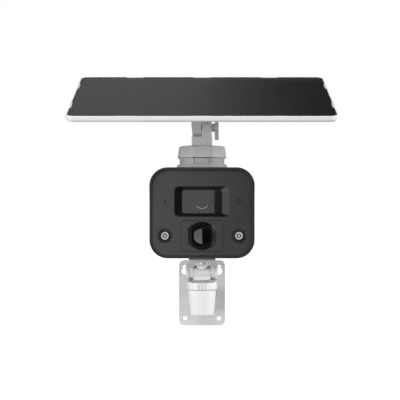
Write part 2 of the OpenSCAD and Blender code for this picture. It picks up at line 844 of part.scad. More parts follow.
module wing_bolt() {
    color("#8b8d91") translate([0, pan_y, tilt_z]) {
        rod_x(wing_bolt_r, -9.6, ear_x1 + 1);
        // Waisted hub
        translate([ear_x1 + gap, 0, 0]) rotate([0, 90, 0]) rotate_extrude() polygon([
            [0, 0], [5.3, 0], [5.3, 0.3], [4.7, 0.7], [4.3, 1.4],
            [4.3, 2.2], [4.7, 2.9], [5.3, 3.3], [5.3, 3.6], [0, 3.6]]);
        along_x(14.2, 18.4) {
            circle(5.6);
            for (s = [-1, 1]) translate([0, s * 8.6]) circle(5);
            square([7.6, 17.2], center = true);
        }
    }
}

// ---------- panel bracket ----------

module tilt_lug() {
    color("#a4a6a9") panel_space() difference() {
        union() {
            intersection() {
                union() {
                    rod_x(lug_r, -12, lug_x1);
                    translate([-12, -lug_r, 0]) cube([12 + lug_x1, 2 * lug_r, base_plate_top - 1]);
                }
                along_y(-20, 20) polygon([[-10, -lug_r - 1], [lug_x1, -lug_r - 1],
                    [lug_x1, 40], [-12, 40], [-11.6, 6]]);
            }
            panel_slab(64, 48, 4, base_plate_top - 3.6, base_plate_top);
            for (s = [-1, 1]) along_y(s * 8 - 1.2, s * 8 + 1.2)
                polygon([[-30, base_plate_top - 3.5], [-11, base_plate_top - 3.5], [-11, 13]]);
            for (s = [-1, 1]) along_y(s * 8 - 1.2, s * 8 + 1.2)
                polygon([[30, base_plate_top - 3.5], [lug_x1 - 0.1, base_plate_top - 3.5],
                    [lug_x1 - 0.1, 13.5], [1, 13.5]]);
        }
        rod_x(wing_bolt_r + run, -20, 20);
        translate([-15, 0, 0]) rotate([0, 90, 0]) cylinder(r = 4.75, h = 8, $fn = 6);
        for (sx = [-1, 1], sy = [-1, 1])
            translate([sx * 26, sy * 18, base_plate_top - 5]) cylinder(r = 1.6, h = 6);
    }
}

module friction_washer() {
    color("#303133") translate([0, pan_y, tilt_z]) difference() {
        rod_x(knuckle_r - 0.3, lug_x1 + 0.02, lug_x1 + 0.82);
        rod_x(wing_bolt_r + run, lug_x1 - 1, 1);
    }
}

module lug_nut() {
    color("#a9abae") panel_space() difference() {
        translate([-10.9, 0, 0]) rotate([0, 90, 0]) cylinder(r = 4.6, h = 3.8, $fn = 6);
        rod_x(wing_bolt_r + run, -12, 0);
    }
}

module lug_screws() {
    color("#8d8f92") panel_space() for (sx = [-1, 1], sy = [-1, 1])
        translate([sx * 26, sy * 18, base_plate_top - 3.62]) difference() {
            union() {
                translate([0, 0, -2]) cylinder(r1 = 2.4, r2 = 3.1, h = 2);
                translate([0, 0, -0.1]) cylinder(r = 1.4, h = 6.2);
            }
            translate([0, 0, -2.1]) cylinder(r = 1.2, h = 1.3, $fn = 6);
        }
}

// ---------- solar panel ----------

module panel_frame() {
    lip = panel_rise;
    color("#f4f4f3") panel_space() {
        difference() {
            union() {
                panel_slab(panel_w, panel_d, frame_r, lip - frame_t + 0.8, lip);
                panel_slab(panel_w - 1.6, panel_d - 1.6, frame_r - 0.8, lip - frame_t, lip - frame_t + 0.9);
            }
            panel_slab(panel_w - 2 * skirt, panel_d - 2 * skirt, frame_r - skirt, lip - frame_t - 1, lip);
            panel_slab(panel_w - 2 * border, panel_d - 2 * border, frame_r - border, lip - 3.4, lip + 1);
        }
        // Ledge that carries the cell sheet
        difference() {
            panel_slab(panel_w - 5, panel_d - 5, frame_r - 2.5, lip - 4.6, lip - 3.4);
            panel_slab(panel_w - 16, panel_d - 16, 4, lip - 5, lip - 3);
        }
        // Retaining tabs along the inside of the border
        for (s = [-1, 1]) {
            for (x = [-78, 0, 78])
                translate([x - 9.75, s * (panel_d / 2 - border - 0.55) - 0.6, lip - 0.7])
                    cube([19.5, 1.2, 0.7]);
            for (y = [-41, 41])
                translate([s * (panel_w / 2 - border - 0.55) - 0.6, y - 9.75, lip - 0.7])
                    cube([1.2, 19.5, 0.7]);
        }
    }
}

module panel_cover() {
    inset = 2 * border + 0.4;
    color("#2c2f36") panel_space()
        panel_slab(panel_w - inset, panel_d - inset, frame_r - border - 0.2,
            panel_rise - 1.7, panel_rise - 0.75);
}

module cell_sheet() {
    inset = 2 * border + 0.6;
    color("#1b1e26") panel_space()
        panel_slab(panel_w - inset, panel_d - inset, frame_r - border - 0.3,
            panel_rise - 3.35, panel_rise - 1.75);
}

module panel_tray() {
    z0 = base_plate_top;
    inset = 2 * skirt + 0.6;
    color("#ececeb") panel_space() difference() {
        hull() {
            panel_slab(panel_w - inset, panel_d - inset, frame_r - skirt - 0.3, z0 + 1.2, panel_rise - 4.7);
            panel_slab(panel_w - 60, panel_d - 50, 8, z0 + 0.02, z0 + 0.5);
        }
        panel_slab(panel_w - 20, panel_d - 20, 3, z0 + 1.7, panel_rise);
        for (sx = [-1, 1], sy = [-1, 1]) translate([sx * 26, sy * 18, z0 - 1]) cylinder(r = 1.45, h = 6);
    }
}

module junction_box() {
    color("#d9dadb") panel_space() {
        translate([0, 52, 0]) {
            panel_slab(44, 28, 4, base_plate_top - 8, base_plate_top);
            panel_slab(39, 23, 3, base_plate_top - 9, base_plate_top - 7.9);
        }
    }
}

wall_plate();
arm();
arm_screws();
cup_plug();
lock_collar();
stem();
stem_washer();
stem_screw();
fork();
pivot_bolt();
pivot_nut();
side_caps();
camera_screw();
d_ring();
front_hood();
front_panel();
front_seal();
rear_housing();
housing_screws();
lens_bezel();
lens_window();
lens_barrel();
front_lens();
sensor_board();
infrared_emitters();
spotlight_cups();
spotlight_lenses();
light_chips();
motion_frame();
motion_dome();
motion_sensor();
microphone();
light_sensor_window();
main_board();
battery_cells();
speaker();
antenna();
charge_socket();
card_socket();
service_flap();
power_button();
reset_button();
foot_pad();
thread_insert();
mount_flange();
mount_ring();
release_button();
button_spring();
swivel_cap();
tilt_ear();
wing_bolt();
tilt_lug();
friction_washer();
lug_nut();
lug_screws();
panel_frame();
panel_cover();
cell_sheet();
panel_tray();
junction_box();
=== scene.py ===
"""Looks of the solar-powered security camera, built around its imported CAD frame."""
import json
import math

import bmesh
import bpy
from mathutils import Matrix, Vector


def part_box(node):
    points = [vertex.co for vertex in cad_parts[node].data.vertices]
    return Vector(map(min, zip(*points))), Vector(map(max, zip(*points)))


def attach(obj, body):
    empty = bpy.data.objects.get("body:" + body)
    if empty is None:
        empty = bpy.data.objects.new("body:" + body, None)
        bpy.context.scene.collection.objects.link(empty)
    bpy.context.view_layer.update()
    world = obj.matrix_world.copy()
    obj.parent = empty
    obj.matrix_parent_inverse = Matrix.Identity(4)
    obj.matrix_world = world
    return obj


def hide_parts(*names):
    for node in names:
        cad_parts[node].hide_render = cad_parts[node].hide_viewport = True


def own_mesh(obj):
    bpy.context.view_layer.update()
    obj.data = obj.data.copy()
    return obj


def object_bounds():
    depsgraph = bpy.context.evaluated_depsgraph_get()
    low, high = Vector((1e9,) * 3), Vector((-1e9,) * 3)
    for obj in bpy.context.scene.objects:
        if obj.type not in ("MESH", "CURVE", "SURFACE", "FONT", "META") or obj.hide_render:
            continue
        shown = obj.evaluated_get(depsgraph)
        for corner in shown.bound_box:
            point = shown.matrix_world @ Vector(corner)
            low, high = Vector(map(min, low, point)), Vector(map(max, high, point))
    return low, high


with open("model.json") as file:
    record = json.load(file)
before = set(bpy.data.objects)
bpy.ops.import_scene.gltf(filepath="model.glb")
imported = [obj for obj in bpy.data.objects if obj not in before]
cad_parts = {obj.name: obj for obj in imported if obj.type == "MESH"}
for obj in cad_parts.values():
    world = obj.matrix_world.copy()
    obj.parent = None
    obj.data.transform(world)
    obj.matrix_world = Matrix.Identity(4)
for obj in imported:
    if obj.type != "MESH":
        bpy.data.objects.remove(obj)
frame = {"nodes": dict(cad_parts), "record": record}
cad_low, cad_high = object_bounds()
MM = 0.001
BODY_OF = {node: body for body, nodes in frame["record"]["behaviour"]["bodies"].items() for node in nodes}
SLOT_OF = {part["node"]: part["material_slot"] for part in frame["record"]["subparts"]}


# ---------- node helpers ----------

def new_material(name):
    """A new material, with its node tree and its shader."""
    material = bpy.data.materials.new(name)
    material.use_nodes = True
    tree = material.node_tree
    return material, tree, tree.nodes["Principled BSDF"]


def object_space(tree, stretch=(1, 1, 1)):
    """Object coordinates, stretched along each axis."""
    source = tree.nodes.new("ShaderNodeTexCoord")
    mapping = tree.nodes.new("ShaderNodeMapping")
    mapping.inputs["Scale"].default_value = stretch
    tree.links.new(source.outputs["Object"], mapping.inputs["Vector"])
    return mapping.outputs["Vector"]


def noise(tree, size, detail=3.0, roughness=0.5, stretch=(1, 1, 1)):
    """Noise whose features are about size metres across."""
    node = tree.nodes.new("ShaderNodeTexNoise")
    node.inputs["Scale"].default_value = 1 / size
    node.inputs["Detail"].default_value = detail
    node.inputs["Roughness"].default_value = roughness
    tree.links.new(object_space(tree, stretch), node.inputs["Vector"])
    return node.outputs["Fac"]


def spread(tree, value, low, high, start=0.3, end=0.7):
    """Maps a noise value to the range low to high."""
    node = tree.nodes.new("ShaderNodeMapRange")
    node.inputs["From Min"].default_value = start
    node.inputs["From Max"].default_value = end
    node.inputs["To Min"].default_value = low
    node.inputs["To Max"].default_value = high
    tree.links.new(value, node.inputs["Value"])
    return node.outputs["Result"]


def math_node(tree, operation, first, second=0.0):
    """Result of a math operation; each operand is a number or a socket."""
    node = tree.nodes.new("ShaderNodeMath")
    node.operation = operation
    for socket, value in zip(node.inputs, (first, second)):
        if isinstance(value, (int, float)):
            socket.default_value = value
        else:
            tree.links.new(value, socket)
    return node.outputs["Value"]


def mix_colours(tree, factor, first, second):
    """First colour where factor is 0, second where it is 1; each is a tuple or a socket."""
    node = tree.nodes.new("ShaderNodeMix")
    node.data_type = "RGBA"
    if isinstance(factor, (int, float)):
        node.inputs["Factor"].default_value = factor
    else:
        tree.links.new(factor, node.inputs["Factor"])
    for socket, colour in ((node.inputs[6], first), (node.inputs[7], second)):
        if isinstance(colour, tuple):
            socket.default_value = (*colour, 1)
        else:
            tree.links.new(colour, socket)
    return node.outputs[2]


def bumps(tree, shader, *layers):
    """Adds bump layers, each a pair of a height socket and its depth in metres."""
    normal = None
    for height, depth in layers:
        node = tree.nodes.new("ShaderNodeBump")
        node.inputs["Distance"].default_value = depth
        tree.links.new(height, node.inputs["Height"])
        if normal is not None:
            tree.links.new(normal, node.inputs["Normal"])
        normal = node.outputs["Normal"]
    tree.links.new(normal, shader.inputs["Normal"])


def worn_edges(tree, amount):
    """Share of wear: the rounded edges, broken up by noise."""
    edge = tree.nodes.new("ShaderNodeAttribute")
    edge.attribute_name = "edge"
    patchy = spread(tree, noise(tree, 6 * MM, 4, 0.65), 0, amount, 0.42, 0.62)
    return math_node(tree, "MULTIPLY", edge.outputs["Fac"], patchy)


def shade(colour, factor):
    """The colour made darker or brighter by a factor."""
    return tuple(min(1.0, c * factor) for c in colour)


# ---------- materials ----------

def moulded(name, colour, roughness, grain, depth, mottle, wear, specular=0.5):
    """Moulded plastic: spark-eroded grain and its depth in mm, slight mottling, and rubbed edges."""
    material, tree, shader = new_material(name)
    broad = noise(tree, 22 * MM, 4, 0.55)
    fine = noise(tree, grain * MM, 2, 0.6)
    toned = mix_colours(tree, spread(tree, broad, 0, 1), shade(colour, 1 - mottle), shade(colour, 1 + mottle))
    speckled = mix_colours(tree, spread(tree, fine, 0, 0.3), toned, shade(colour, 0.82))
    rubbed = mix_colours(tree, worn_edges(tree, wear), speckled, tuple(c + (0.75 - c) * 0.35 for c in colour))
    tree.links.new(rubbed, shader.inputs["Base Color"])
    tree.links.new(spread(tree, broad, roughness - 0.05, roughness + 0.06), shader.inputs["Roughness"])
    shader.inputs["Specular IOR Level"].default_value = specular
    bumps(tree, shader, (fine, depth * MM), (broad, 0.03 * MM))
    return material


def rubber(name, colour):
    """Matt rubber with a fine skin and a little dust."""
    material, tree, shader = new_material(name)
    fine = noise(tree, 0.5 * MM, 4, 0.7)
    dusty = noise(tree, 9 * MM, 5, 0.6)
    toned = mix_colours(tree, spread(tree, dusty, 0, 1, 0.35, 0.75), shade(colour, 0.85), shade(colour, 1.35))
    tree.links.new(toned, shader.inputs["Base Color"])
    tree.links.new(spread(tree, dusty, 0.62, 0.82), shader.inputs["Roughness"])
    shader.inputs["Sheen Weight"].default_value = 0.12
    bumps(tree, shader, (fine, 0.03 * MM))
    return material


def metal(name, colour, roughness, along=(1, 1, 1), anisotropy=0.4, metallic=1.0):
    """Machined or brushed metal: fine lines, stretched as along says, and slight tarnish."""
    material, tree, shader = new_material(name)
    lines = noise(tree, 0.6 * MM, 3, 0.6, along)
    tarnish = noise(tree, 4 * MM, 4, 0.6)
    toned = mix_colours(tree, spread(tree, tarnish, 0, 1), shade(colour, 0.85), shade(colour, 1.08))
    tree.links.new(toned, shader.inputs["Base Color"])
    shader.inputs["Metallic"].default_value = metallic
    shader.inputs["Anisotropic"].default_value = anisotropy
    tree.links.new(spread(tree, lines, roughness - 0.08, roughness + 0.1), shader.inputs["Roughness"])
    bumps(tree, shader, (lines, 0.006 * MM))
    return material


def gloss(name, colour, roughness, specular=0.5, metallic=0.0):
    """Polished plastic with faint haze and a little dust."""
    material, tree, shader = new_material(name)
    haze = noise(tree, 7 * MM, 4, 0.6)
    dust = noise(tree, 0.45 * MM, 2, 0.7)
    specks = spread(tree, dust, 0, 0.35, 0.66, 0.78)
    tree.links.new(mix_colours(tree, specks, colour, shade(colour, 2.2)), shader.inputs["Base Color"])
    tree.links.new(spread(tree, haze, roughness, roughness + 0.05), shader.inputs["Roughness"])
    shader.inputs["Metallic"].default_value = metallic
    shader.inputs["Specular IOR Level"].default_value = specular
    bumps(tree, shader, (haze, 0.01 * MM))
    return material


def smoked_window(name, colour, opacity):
    """Dark see-through window: polished, with faint haze."""
    material, tree, shader = new_material(name)
    haze = noise(tree, 9 * MM, 3, 0.5)
    tree.links.new(mix_colours(tree, spread(tree, haze, 0, 1), shade(colour, 0.9), shade(colour, 1.1)),
                   shader.inputs["Base Color"])
    tree.links.new(spread(tree, haze, 0.015, 0.03), shader.inputs["Roughness"])
    shader.inputs["Specular IOR Level"].default_value = 0.55
    shader.inputs["Alpha"].default_value = opacity
    return material


def light_guide(name):
    """Milky plastic that glows unevenly along its length: a painted highlight, standing in for light reflected
    off the lens barrel's lower rim.
    """
    material, tree, shader = new_material(name)
    haze = noise(tree, 2 * MM, 3, 0.6)
    tone = mix_colours(tree, spread(tree, haze, 0, 1), (0.8, 0.8, 0.8), (0.95, 0.95, 0.95))
    tree.links.new(tone, shader.inputs["Base Color"])
    tree.links.new(tone, shader.inputs["Emission Color"])
    shader.inputs["Emission Strength"].default_value = 4.6
    shader.inputs["Roughness"].default_value = 0.35
    return material


def frosted_lens(name, colour):
    """Clear optical plastic with a slight milky look."""
    material, tree, shader = new_material(name)
    haze = noise(tree, 1.2 * MM, 3, 0.6)
    tree.links.new(mix_colours(tree, spread(tree, haze, 0, 1), shade(colour, 0.9), colour),
                   shader.inputs["Base Color"])
    tree.links.new(spread(tree, haze, 0.14, 0.26), shader.inputs["Roughness"])
    shader.inputs["Subsurface Weight"].default_value = 0.25
    shader.inputs["Subsurface Radius"].default_value = (1, 1, 1)
    shader.inputs["Subsurface Scale"].default_value = 0.8 * MM
    return material


def phosphor(name):
    """Pale yellow phosphor of a light chip, with fine grains."""
    material, tree, shader = new_material(name)
    grains = noise(tree, 0.25 * MM, 3, 0.7)
    tree.links.new(mix_colours(tree, spread(tree, grains, 0, 1), (0.82, 0.80, 0.70), (0.95, 0.94, 0.88)),
                   shader.inputs["Base Color"])
    shader.inputs["Roughness"].default_value = 0.35
    bumps(tree, shader, (grains, 0.02 * MM))
    return material


def circuit(name, colour):
    """Solder mask over copper tracks that run along two directions."""
    material, tree, shader = new_material(name)
    tracks = []
    for direction in ("X", "Z"):
        wave = tree.nodes.new("ShaderNodeTexWave")
        wave.bands_direction = direction
        wave.inputs["Scale"].default_value = 150
        wave.inputs["Distortion"].default_value = 1.5
        wave.inputs["Detail"].default_value = 1
        tree.links.new(object_space(tree), wave.inputs["Vector"])
        tracks.append(wave.outputs["Fac"])
    blocks = noise(tree, 8 * MM, 1, 0.4)
    upright, level = (spread(tree, track, 0, 1, 0.6, 0.7) for track in tracks)
    lines = math_node(tree, "MULTIPLY", upright, spread(tree, blocks, 0, 1, 0.45, 0.5))
    cross = math_node(tree, "MULTIPLY", level, spread(tree, blocks, 1, 0, 0.45, 0.5))
    copper = math_node(tree, "MAXIMUM", lines, cross)
    tree.links.new(mix_colours(tree, copper, colour, shade(colour, 1.9)), shader.inputs["Base Color"])
    shader.inputs["Roughness"].default_value = 0.35
    bumps(tree, shader, (copper, 0.03 * MM))
    return material


def solar_film(name):
    """Embossed clear film over dark cells: fine dimples, faint cell gaps and thin collector lines."""
    material, tree, shader = new_material(name)
    across, up_slope, _ = PANEL_AXES
    place = tree.nodes.new("ShaderNodeTexCoord").outputs["Object"]

    def along(direction, pitch):
        """Place along a direction, in steps of pitch."""
        dot = tree.nodes.new("ShaderNodeVectorMath")
        dot.operation = "DOT_PRODUCT"
        dot.inputs[1].default_value = direction / pitch
        tree.links.new(place, dot.inputs[0])
        return dot.outputs["Value"]

    def line(direction, pitch, width):
        """One on a line of the given width at every pitch, and 0 between."""
        steps = math_node(tree, "FRACT", along(direction, pitch))
        near = math_node(tree, "ABSOLUTE", math_node(tree, "SUBTRACT", steps, 0.5))
        return math_node(tree, "LESS_THAN", near, width / pitch / 2)

    gaps = math_node(tree, "MAXIMUM", line(across, 34.4 * MM, 0.9 * MM), line(up_slope, 83.5 * MM, 0.9 * MM))
    fingers = line(up_slope, 11.9 * MM, 0.25 * MM)
    rows = [math_node(tree, "SINE", math_node(tree, "MULTIPLY", along(direction, 1.1 * MM), 2 * math.pi))
            for direction in (across, up_slope)]
    dimples = math_node(tree, "MULTIPLY", rows[0], rows[1])
    crystals = noise(tree, 13 * MM, 2, 0.5)
    cells = mix_colours(tree, spread(tree, crystals, 0, 1), (0.016, 0.0162, 0.018), (0.021, 0.0212, 0.0235))
    lined = mix_colours(tree, math_node(tree, "MULTIPLY", fingers, 0.25), cells, (0.035, 0.036, 0.038))
    gapped = mix_colours(tree, math_node(tree, "MULTIPLY", gaps, 0.5), lined, (0.004, 0.004, 0.005))
    tree.links.new(gapped, shader.inputs["Base Color"])
    shader.inputs["Roughness"].default_value = 0.3
    shader.inputs["Specular IOR Level"].default_value = 0.4
    bumps(tree, shader, (dimples, 0.016 * MM), (noise(tree, 60 * MM, 2, 0.5), 0.15 * MM))
    return material


def panel_axes():
    """Across the panel, up its slope, and out of its front."""
    front = max((f for f in frame["nodes"]["panel_cover"].data.polygons if f.normal.z > 0), key=lambda f: f.area)
    across = Vector((1, 0, 0))
    return across, front.normal.cross(across).normalized(), front.normal.copy()


PANEL_AXES = panel_axes()

# Each plastic's colour, roughness, grain in mm, depth of the grain in mm, mottling, wear and specular level.
MOULDED = {
    "white_plastic": ((0.84, 0.84, 0.835), 0.42, 0.3, 0.006, 0.015, 0.10, 0.5),
    # plate_white_painted_shade is white_plastic darkened: painted shade on the wall plate, which lies in the
    # shade of the body and arm
    "plate_white_painted_shade": ((0.71, 0.71, 0.705), 0.42, 0.3, 0.006, 0.015, 0.10, 0.5),
    # pale_grey_plastic is partly the fork's and stem's own pale grey and partly painted light: it is brightened
    # to cancel the shade under the body
    "pale_grey_plastic": ((0.78, 0.785, 0.79), 0.42, 0.3, 0.007, 0.02, 0.15, 0.5),
    # light_grey_plastic is the swivel cap's mid grey made lighter: painted light that cancels the panel's shade
    # on the parts under it
    "light_grey_plastic": ((0.66, 0.665, 0.67), 0.42, 0.3, 0.007, 0.02, 0.15, 0.5),
    "mid_grey_plastic": ((0.46, 0.465, 0.47), 0.45, 0.3, 0.008, 0.03, 0.2, 0.5),
    "dark_grey_plastic": ((0.35, 0.353, 0.357), 0.45, 0.3, 0.008, 0.03, 0.2, 0.5),
    "charcoal_plastic": ((0.0245, 0.0247, 0.0253), 0.27, 0.35, 0.004, 0.05, 0.04, 0.5),
    "housing_black": ((0.012, 0.012, 0.0124), 0.4, 0.35, 0.010, 0.06, 0.04, 0.4),
    "satin_black": ((0.007, 0.007, 0.0072), 0.24, 0.3, 0.002, 0.05, 0.02, 0.5),
    "black_plastic": ((0.014, 0.014, 0.0145), 0.45, 0.3, 0.006, 0.05, 0.05, 0.5),
    "reset_white": ((0.75, 0.75, 0.76), 0.4, 0.3, 0.005, 0.02, 0.1, 0.5),
}
# Each other finish: what makes it, and the values that this takes after the name.
OTHERS = {
    "black_gloss": (gloss, (0.003, 0.003, 0.0031), 0.04, 0.8),
    "dark_rubber": (rubber, (0.12, 0.12, 0.125)),
    "foot_rubber": (rubber, (0.27, 0.27, 0.275)),
    "plated_steel": (metal, (0.93, 0.93, 0.935), 0.5, (1, 1, 1), 0.1, 0.45),
    "steel": (metal, (0.72, 0.72, 0.73), 0.3, (1, 6, 1)),
    "brass": (metal, (0.76, 0.58, 0.28), 0.28),
    "tinted_glass": (smoked_window, (0.018, 0.018, 0.019), 0.80),
    "lens_glass": (gloss, (0.12, 0.125, 0.14), 0.02, 0.8, 0.5),
    # the glowing arc under the lens is a painted highlight, not a lamp
    "light_guide": (light_guide,),
    "clear_plastic": (frosted_lens, (0.58, 0.585, 0.595)),
    "light_chip": (phosphor,),
    "circuit_board": (circuit, (0.012, 0.07, 0.03)),
    "battery_wrap": (gloss, (0.06, 0.19, 0.42), 0.28),
    "solar_cover": (solar_film,),
    "solar_cells": (circuit, (0.006, 0.007, 0.016)),
}
MATERIALS = {name: moulded(name, *finish) for name, finish in MOULDED.items()}
for name, (make, *finish) in OTHERS.items():
    MATERIALS[name] = make(name, *finish)

for node, part in frame["nodes"].items():
    part.data.materials.clear()
    part.data.materials.append(MATERIALS[SLOT_OF[node]])


# ---------- mesh helpers ----------

SHARP_ANGLE = 28  # an edge that turns by more degrees than this is rounded over


def finish_piece(name, bm, node, replaced=(), smooth_under=40.0, slot=None, look=None):
    """Turns a bmesh into a piece that rides on the body of a CAD node and stands for the replaced nodes.

    It has the node's slot unless slot says another, and the slot's material unless look says another.
    """
    mesh = bpy.data.meshes.new(name)
    bm.to_mesh(mesh)
    bm.free()
    mesh.polygons.foreach_set("use_smooth", [True] * len(mesh.polygons))
    mesh.set_sharp_from_angle(angle=math.radians(smooth_under))
    piece = bpy.data.objects.new(name, mesh)
    bpy.context.scene.collection.objects.link(piece)
    weighted = piece.modifiers.new("weighted_normals", "WEIGHTED_NORMAL")
    weighted.keep_sharp = True
    slot = slot or SLOT_OF[node]
    mesh.materials.append(MATERIALS[look or slot])
    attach(piece, BODY_OF[node])
    if replaced:
        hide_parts(*replaced)
    return piece


def copy_of(node):
    """A bmesh of a CAD node's shape, with its doubled vertices merged."""
    bm = bmesh.new()
    bm.from_mesh(frame["nodes"][node].data)
    bmesh.ops.remove_doubles(bm, verts=bm.verts, dist=0.002 * MM)
    return bm


def soften(node, width, reshape=None, look=None):
    """Rounds over the hard edges of a CAD node's shape, in a new piece that stands for the node."""
    bm = copy_of(node)
    bmesh.ops.dissolve_limit(bm, angle_limit=math.radians(0.4), verts=bm.verts, edges=bm.edges)
    if reshape:
        reshape(bm)
    edges = [e for e in bm.edges
             if len(e.link_faces) == 2 and math.degrees(e.calc_face_angle(0)) > SHARP_ANGLE]
    layer = bm.faces.layers.float.new("edge")
    made = bmesh.ops.bevel(bm, geom=edges, offset=width * MM, offset_type="OFFSET", segments=3,
                           profile=0.5, affect="EDGES", clamp_overlap=True, miter_outer="ARC")
    for face in made["faces"]:
        face[layer] = 1.0
    return finish_piece(node + "_shell", bm, node, [node], look=look)


def turned(bm, profile, centre, segments=96, axis=Vector((0, 1, 0)), side=Vector((0, 0, 1))):
    """Adds a closed ring or a solid turned about an axis through centre, from (radius, depth) points in mm."""
    rings = []
    for radius, depth in profile:
        place = centre + axis * depth * MM
        if radius == 0:
            rings.append([bm.verts.new(place)])
            continue
        turn = [2 * math.pi * i / segments for i in range(segments)]
        rings.append([bm.verts.new(place + radius * MM * (Vector((1, 0, 0)) * math.cos(t) + side * math.sin(t)))
                      for t in turn])
    closed = len(rings[0]) > 1 and len(rings[-1]) > 1
    pairs = list(zip(rings, rings[1:])) + ([(rings[-1], rings[0])] if closed else [])
    for a, b in pairs:
        for i in range(segments):
            j = (i + 1) % segments
            corners = [a[i % len(a)], a[j % len(a)], b[j % len(b)], b[i % len(b)]]
            unique = list(dict.fromkeys(corners))
            if len(unique) > 2:
                bm.faces.new(unique)
    return bm


def arc(cx, cy, r, start, end, steps):
    """Points (radius, depth) along an arc, angles in degrees."""
    angles = [math.radians(start + (end - start) * i / steps) for i in range(steps + 1)]
    return [(cx + r * math.cos(a), cy + r * math.sin(a)) for a in angles]


def turned_piece(name, profile, centre, node, replaced=(), segments=96, slot=None, look=None, upright=False):
    """A turned piece about the Y axis, or about the Z axis when upright."""
    if upright:
        bm = turned(bmesh.new(), profile, centre, segments, Vector((0, 0, 1)), Vector((0, 1, 0)))
    else:
        bm = turned(bmesh.new(), profile, centre, segments)
    bmesh.ops.recalc_face_normals(bm, faces=bm.faces)
    return finish_piece(name, bm, node, replaced, slot=slot, look=look)


def centre_of(node):
    """Middle of a node's box."""
    low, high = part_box(node)
    return (low + high) / 2


def front_of(node):
    """Middle of the front of a node's box."""
    centre = centre_of(node)
    return Vector((centre.x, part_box(node)[0].y, centre.z))


# ---------- softened nodes and the stem's dark ring of painted shade ---

def octagonal_cup(bm):
    """Draws the arm's cup in to eight soft facets, below the lock collar."""
    axis = centre_of("lock_collar")
    cup_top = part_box("lock_collar")[0].z
    low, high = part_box("arm")
    cup_radius = (high.x - low.x) / 2
    facet = math.radians(360 / 8)
    for vert in bm.verts:
        x, y = vert.co.x - axis.x, vert.co.y - axis.y
        radius = math.hypot(x, y)
        if 0.7 * cup_radius < radius < 1.01 * cup_radius and vert.co.z < cup_top:
            from_facet = (math.atan2(y, x) + facet / 2) % facet - facet / 2
            pull = (math.cos(facet / 2) / math.cos(from_facet)) ** 0.5
            vert.co.x, vert.co.y = axis.x + x * pull, axis.y + y * pull


# How wide the edges of these nodes are rounded over, in mm.
SOFTENED = {
    "lock_collar": 0.2, "fork": 0.5, "side_caps": 0.3, "cup_plug": 0.3, "camera_screw": 0.22, "d_ring": 0.3,
    "foot_pad": 0.25, "mount_flange": 0.3, "mount_ring": 0.18, "release_button": 0.15, "swivel_cap": 0.7,
    "tilt_ear": 0.6, "tilt_lug": 0.6, "wing_bolt": 0.6, "panel_tray": 0.6, "junction_box": 1.0,
    "front_hood": 0.5, "rear_housing": 0.6, "front_panel": 0.12, "lens_bezel": 0.15, "motion_frame": 0.12,
    "spotlight_cups": 0.15, "service_flap": 0.4, "power_button": 0.5, "light_sensor_window": 0.15,
}


def stem_shade_ring():
    """Dark ring of painted shade round the stem's neck, darkening the band above the lock collar: a sleeve
    inside the collar, with a lip above it.
    """
    neck = centre_of("lock_collar")
    base = Vector((neck.x, neck.y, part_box("lock_collar")[1].z))
    sleeve = [(11.6, -2.6), (13.4, -2.6), (13.5, -2.4), (13.5, 0.25), (14.1, 0.35), (14.28, 0.55), (14.28, 1.5),
              (14.1, 1.74), (12.6, 1.74)]
    turned_piece("stem_painted_shade_ring", sleeve, base, "stem", slot="dark_grey_plastic", upright=True)


def narrow_disc(bm):
    """Draws the rim of the stem's disc in, so that the dark ring of painted shade covers it."""
    rim, drawn_in = 14.1 * MM, 0.95
    axis = centre_of("lock_collar")
    for vert in bm.verts:
        x, y = vert.co.x - axis.x, vert.co.y - axis.y
        if math.hypot(x, y) > rim:
            vert.co.x, vert.co.y = axis.x + x * drawn_in, axis.y + y * drawn_in


def bracket_and_mount():
    """The bracket, body and mount pieces that are their CAD nodes with softened edges."""
    for node, width in SOFTENED.items():
        soften(node, width)
    # the wall plate takes the darker copy of white plastic: painted shade
    soften("wall_plate", 0.7, look="plate_white_painted_shade")
    soften("arm", 0.7, reshape=octagonal_cup)
    soften("stem", 0.4, reshape=narrow_disc)
    # dark ring of painted shade round the stem's neck, not a real seal
    stem_shade_ring()


# ---------- panel frame ----------

# Width of the border's front and of its skirt at the back, and radii of its outline and its ledge, in mm.
BORDER, SKIRT, CORNER, LEDGE_CORNER = 1.2, 3.0, 9.0, 4.0


def in_panel(node):
    """Lowest and highest corners of a node along the panel's own axes."""
    places = [[v.co.dot(axis) for axis in PANEL_AXES] for v in frame["nodes"][node].data.vertices]
    return Vector(map(min, zip(*places))), Vector(map(max, zip(*places)))


def from_panel(across, up_slope, outward):
    """Scene point at a place along the panel's own axes."""
    return PANEL_AXES[0] * across + PANEL_AXES[1] * up_slope + PANEL_AXES[2] * outward


def rounded_loop(half_w, half_d, radius, steps=12):
    """Points of a rounded rectangle about the origin."""
    corners = [(1, 1, 0), (-1, 1, 90), (-1, -1, 180), (1, -1, 270)]
    points = []
    for sx, sy, start in corners:
        for i in range(steps + 1):
            turn = math.radians(start + 90 * i / steps)
            points.append((sx * (half_w - radius) + radius * math.cos(turn),
                           sy * (half_d - radius) + radius * math.sin(turn)))
    return points


def add_block(bm, low, high, place, rounding):
    """Adds a closed box with rounded edges; place turns its own corners into scene points."""
    box = bmesh.new()
    bmesh.ops.create_cube(box, size=1)
    for vert in box.verts:
        vert.co = Vector(h if c > 0 else l for c, l, h in zip(vert.co, low, high))
    bmesh.ops.bevel(box, geom=box.edges[:], offset=rounding, segments=3, profile=0.5, affect="EDGES")
    made = {vert: bm.verts.new(place(*vert.co)) for vert in box.verts}
    for face in box.faces:
        bm.faces.new([made[v] for v in face.verts])
    box.free()


